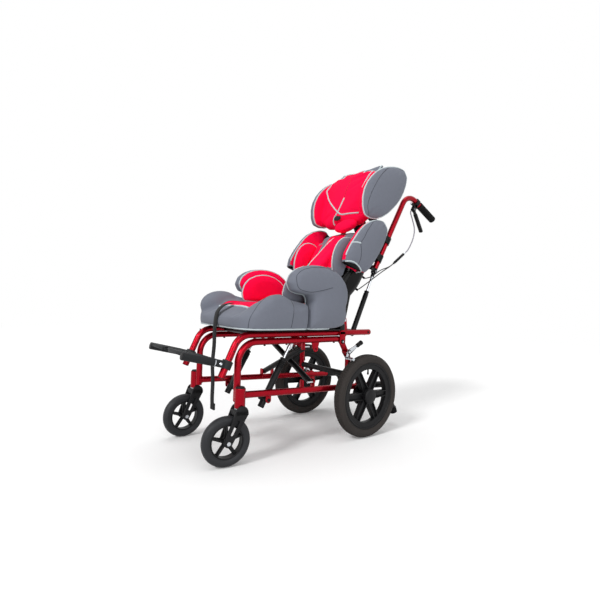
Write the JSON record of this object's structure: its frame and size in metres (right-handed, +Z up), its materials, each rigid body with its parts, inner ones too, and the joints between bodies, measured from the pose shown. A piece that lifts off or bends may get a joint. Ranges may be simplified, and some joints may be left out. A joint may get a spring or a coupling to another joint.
{
  "type": "manual wheelchair",
  "caption": "Child's tilting push wheelchair: padded reclining seat with head support on a folding red tube frame, small front casters and larger rear wheels.",
  "frame": {"origin": "middle of the overall box, on the floor", "axes": "+Z up, the occupant faces -Y, +X is the occupant's left side"},
  "size_m": [0.437, 1.1652, 1.0777],
  "materials": {
    "red_paint": "gloss candy coat",
    "black_tube": "satin black coat",
    "bright_steel": "polished",
    "tyre_rubber": "matte with fine tread",
    "caster_rubber": "smooth matte",
    "black_plastic": "satin moulded",
    "grip_rubber": "ribbed matte",
    "foot_plastic": "fine grain",
    "grey_fabric": "knitted upholstery",
    "red_fabric": "knitted upholstery",
    "webbing": "woven webbing",
    "cable_sheath": "smooth sheath"
  },
  "bodies": {
    "base": {"side_frame_left": "red_paint", "side_frame_right": "red_paint", "brace_bar_front": "black_tube", "brace_bar_rear": "black_tube", "rear_cross_tube": "black_tube", "tip_lever_left": "black_tube", "tip_lever_right": "black_tube", "drum_brake_left": "black_tube", "drum_brake_right": "black_tube"},
    "seat": {"seat_rail_left": "red_paint", "seat_rail_right": "red_paint", "seat_cross_bar_front": "black_tube", "seat_cross_bar_rear": "black_tube", "foot_clamp_left": "foot_plastic", "foot_clamp_right": "foot_plastic", "seat_pan": "black_plastic", "seat_cushion": "grey_fabric", "armrest_left": "grey_fabric", "armrest_right": "grey_fabric", "hip_pad_left": "red_fabric", "hip_pad_right": "red_fabric", "front_strap": "webbing"},
    "back": {"back_shell": "black_plastic", "back_cushion": "grey_fabric", "trunk_pad_left": "red_fabric", "trunk_pad_right": "red_fabric", "push_cane_left": "red_paint", "push_cane_right": "red_paint", "handle_grip_left": "grip_rubber", "handle_grip_right": "grip_rubber", "lever_clamp_left": "black_plastic", "lever_clamp_right": "black_plastic", "back_bar": "black_tube", "release_cable": "cable_sheath"},
    "head": {"head_support": "grey_fabric", "head_post": "black_plastic"},
    "rear_wheel_left": {"rear_tyre_left": "tyre_rubber", "rear_rim_left": "black_plastic"},
    "caster_swivel_left": {"caster_fork_left": "black_plastic"},
    "caster_wheel_left": {"caster_tyre_left": "caster_rubber", "caster_rim_left": "black_plastic"},
    "lock_lever_left": {"wheel_lock_left": "black_tube"},
    "footrest_left": {"footplate_left": "foot_plastic"},
    "tilt_barrel_left": {"tilt_cylinder_left": "black_tube"},
    "tilt_piston_left": {"tilt_rod_left": "bright_steel"},
    "recline_barrel_left": {"recline_cylinder_left": "black_tube"},
    "recline_piston_left": {"recline_rod_left": "bright_steel"},
    "hand_lever_left": {"release_lever_left": "black_plastic"},
    "rear_wheel_right": {"rear_tyre_right": "tyre_rubber", "rear_rim_right": "black_plastic"},
    "caster_swivel_right": {"caster_fork_right": "black_plastic"},
    "caster_wheel_right": {"caster_tyre_right": "caster_rubber", "caster_rim_right": "black_plastic"},
    "lock_lever_right": {"wheel_lock_right": "black_tube"},
    "footrest_right": {"footplate_right": "foot_plastic"},
    "tilt_barrel_right": {"tilt_cylinder_right": "black_tube"},
    "tilt_piston_right": {"tilt_rod_right": "bright_steel"},
    "recline_barrel_right": {"recline_cylinder_right": "black_tube"},
    "recline_piston_right": {"recline_rod_right": "bright_steel"},
    "hand_lever_right": {"release_lever_right": "black_plastic"}
  },
  "joints": [
    {"name": "seat_tilt", "type": "hinge", "parent": "base", "child": "seat", "pos_m": [0, 0.032, 0.36], "axis": [-1, 0, 0], "range_deg": [0, 20]},
    {"name": "back_recline", "type": "hinge", "parent": "seat", "child": "back", "pos_m": [0, 0.052, 0.44], "axis": [-1, 0, 0], "range_deg": [0, 40]},
    {"name": "head_height", "type": "slide", "parent": "back", "child": "head", "axis": [0, 0.5, 0.866], "range_m": [0, 0.06]},
    {"name": "rear_axle_left", "type": "hinge", "parent": "base", "child": "rear_wheel_left", "pos_m": [0.19, 0.134, 0.156], "axis": [1, 0, 0], "continuous": true},
    {"name": "caster_turn_left", "type": "hinge", "parent": "base", "child": "caster_swivel_left", "pos_m": [0.168, -0.401, 0.2], "axis": [0, 0, 1], "continuous": true},
    {"name": "caster_axle_left", "type": "hinge", "parent": "caster_swivel_left", "child": "caster_wheel_left", "pos_m": [0.16243, -0.44061, 0.076], "axis": [0.9903, -0.1392, 0], "continuous": true},
    {"name": "wheel_lock_turn_left", "type": "hinge", "parent": "base", "child": "lock_lever_left", "pos_m": [0.168, 0.05602, 0.322], "axis": [1, 0, 0], "range_deg": [0, 15]},
    {"name": "footrest_flip_left", "type": "hinge", "parent": "seat", "child": "footrest_left", "pos_m": [0.1395, -0.47291, 0.31093], "axis": [0, 0.9724, -0.2334], "range_deg": [0, 90]},
    {"name": "tilt_barrel_swing_left", "type": "hinge", "parent": "base", "child": "tilt_barrel_left", "pos_m": [0.118, -0.28, 0.17605], "axis": [1, 0, 0], "range_deg": [0, 5]},
    {"name": "tilt_piston_stroke_left", "type": "slide", "parent": "tilt_barrel_left", "child": "tilt_piston_left", "axis": [0, 0.4854, 0.8743], "range_m": [0, 0.07]},
    {"name": "recline_barrel_swing_left", "type": "hinge", "parent": "seat", "child": "recline_barrel_left", "pos_m": [0.118, 0.119, 0.386], "axis": [-1, 0, 0], "range_deg": [0, 42]},
    {"name": "recline_piston_stroke_left", "type": "slide", "parent": "recline_barrel_left", "child": "recline_piston_left", "axis": [0, 0.4097, 0.9122], "range_m": [-0.062, 0]},
    {"name": "hand_lever_turn_left", "type": "hinge", "parent": "back", "child": "hand_lever_left", "pos_m": [0.15, 0.43581, 0.92278], "axis": [1, 0, 0], "range_deg": [0, 15], "stiffness_Nm_per_rad": 0.6, "springref_deg": -8.59},
    {"name": "rear_axle_right", "type": "hinge", "parent": "base", "child": "rear_wheel_right", "pos_m": [-0.19, 0.134, 0.156], "axis": [1, 0, 0], "continuous": true},
    {"name": "caster_turn_right", "type": "hinge", "parent": "base", "child": "caster_swivel_right", "pos_m": [-0.168, -0.401, 0.2], "axis": [0, 0, 1], "continuous": true},
    {"name": "caster_axle_right", "type": "hinge", "parent": "caster_swivel_right", "child": "caster_wheel_right", "pos_m": [-0.1666, -0.44097, 0.076], "axis": [0.9994, 0.0349, 0], "continuous": true},
    {"name": "wheel_lock_turn_right", "type": "hinge", "parent": "base", "child": "lock_lever_right", "pos_m": [-0.168, 0.05602, 0.322], "axis": [1, 0, 0], "range_deg": [0, 15]},
    {"name": "footrest_flip_right", "type": "hinge", "parent": "seat", "child": "footrest_right", "pos_m": [-0.1395, -0.47291, 0.31093], "axis": [0, -0.9724, 0.2334], "range_deg": [0, 90]},
    {"name": "tilt_barrel_swing_right", "type": "hinge", "parent": "base", "child": "tilt_barrel_right", "pos_m": [-0.118, -0.28, 0.17605], "axis": [1, 0, 0], "range_deg": [0, 5]},
    {"name": "tilt_piston_stroke_right", "type": "slide", "parent": "tilt_barrel_right", "child": "tilt_piston_right", "axis": [0, 0.4854, 0.8743], "range_m": [0, 0.07]},
    {"name": "recline_barrel_swing_right", "type": "hinge", "parent": "seat", "child": "recline_barrel_right", "pos_m": [-0.118, 0.119, 0.386], "axis": [-1, 0, 0], "range_deg": [0, 42]},
    {"name": "recline_piston_stroke_right", "type": "slide", "parent": "recline_barrel_right", "child": "recline_piston_right", "axis": [0, 0.4097, 0.9122], "range_m": [-0.062, 0]},
    {"name": "hand_lever_turn_right", "type": "hinge", "parent": "back", "child": "hand_lever_right", "pos_m": [-0.15, 0.43581, 0.92278], "axis": [1, 0, 0], "range_deg": [0, 15], "stiffness_Nm_per_rad": 0.6, "springref_deg": -8.59}
  ],
  "couplings": [
    {"joint": "tilt_barrel_swing_left", "follows": "seat_tilt", "ratio": 0.1556},
    {"joint": "tilt_piston_stroke_left", "follows": "seat_tilt", "m_per_rad": 0.1924},
    {"joint": "recline_barrel_swing_left", "follows": "back_recline", "ratio": 1.0151},
    {"joint": "recline_piston_stroke_left", "follows": "back_recline", "m_per_rad": -0.08511},
    {"joint": "tilt_barrel_swing_right", "follows": "seat_tilt", "ratio": 0.1556},
    {"joint": "tilt_piston_stroke_right", "follows": "seat_tilt", "m_per_rad": 0.1924},
    {"joint": "recline_barrel_swing_right", "follows": "back_recline", "ratio": 1.0151},
    {"joint": "recline_piston_stroke_right", "follows": "back_recline", "m_per_rad": -0.08511}
  ]
}
